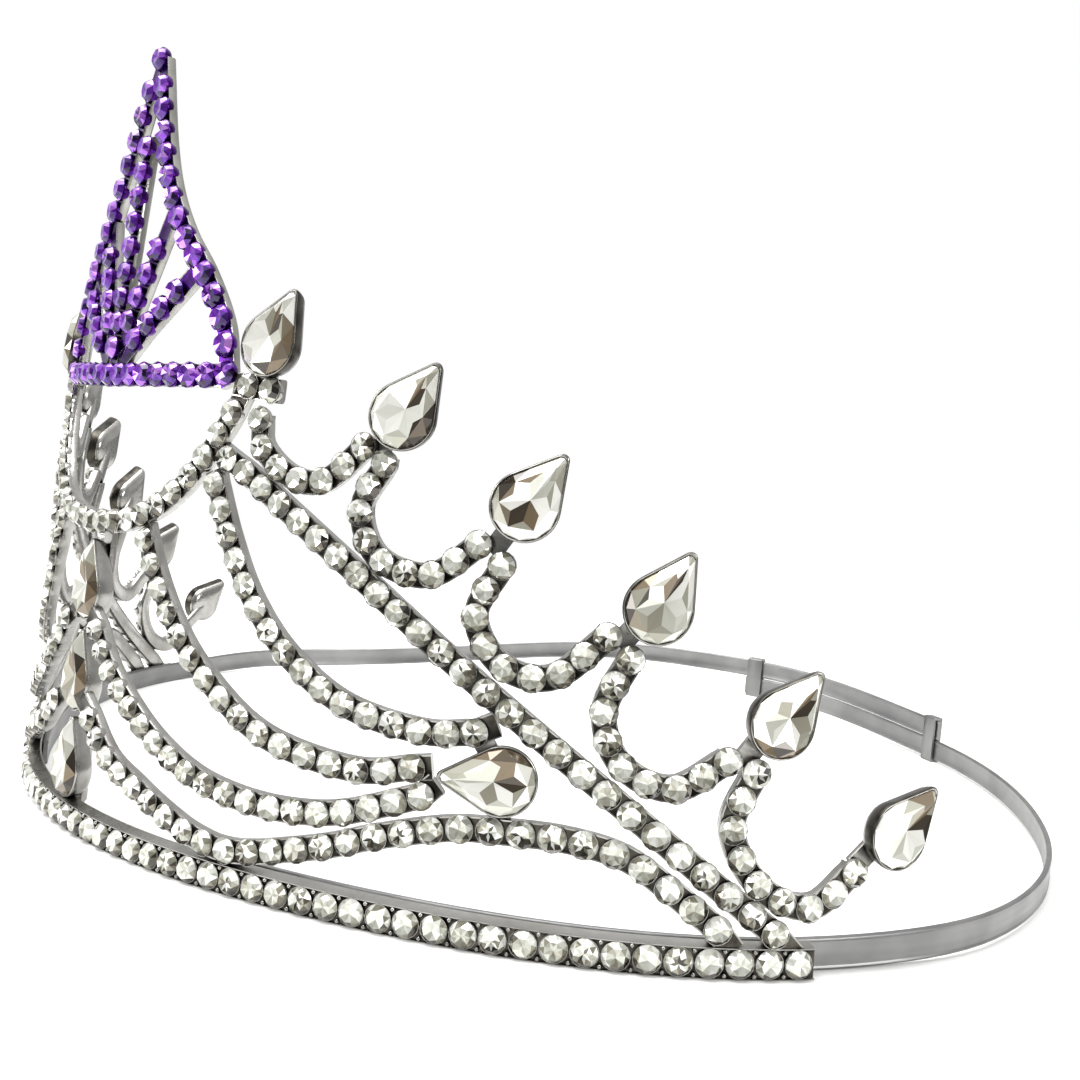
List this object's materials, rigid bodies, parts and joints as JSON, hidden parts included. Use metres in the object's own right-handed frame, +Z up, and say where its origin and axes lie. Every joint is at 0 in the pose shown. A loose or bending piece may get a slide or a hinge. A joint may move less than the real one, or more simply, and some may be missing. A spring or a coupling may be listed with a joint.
{
  "type": "regalia crown",
  "caption": "Tall silver regalia crown: an openwork front of crystal-set strips, pear stones and an ogee peak with a purple fan, closed behind by a plain adjustable band.",
  "frame": {"origin": "on the floor under the middle of the whole crown, which stands on its rail", "axes": "+X towards the wearer's left, +Y towards the back of the head, +Z up; the pierced front faces -Y"},
  "size_m": [0.1808, 0.1673, 0.103],
  "materials": {
    "silver_plate": "cast white metal under a bright silver-tone plate",
    "band_steel": "polished flat spring strip",
    "crystal": "clear faceted crystal with a foiled back",
    "amethyst": "purple faceted crystal with a foiled back"
  },
  "bodies": {
    "root": {"frame": "silver_plate", "band_left": "band_steel", "band_right": "band_steel", "sleeve_left": "band_steel", "sleeve_right": "band_steel", "rail_stones": "crystal", "diagonal_stones": "crystal", "upper_stones": "crystal", "peak_stones": "amethyst", "pear_left_1": "crystal", "pear_left_2": "crystal", "pear_left_3": "crystal", "pear_left_4": "crystal", "pear_left_5": "crystal", "pear_left_6": "crystal", "pear_right_1": "crystal", "pear_right_2": "crystal", "pear_right_3": "crystal", "pear_right_4": "crystal", "pear_right_5": "crystal", "pear_right_6": "crystal", "side_pear_left": "crystal", "side_pear_right": "crystal", "centre_pear_1": "crystal", "centre_pear_2": "crystal", "centre_pear_3": "crystal"}
  },
  "joints": []
}
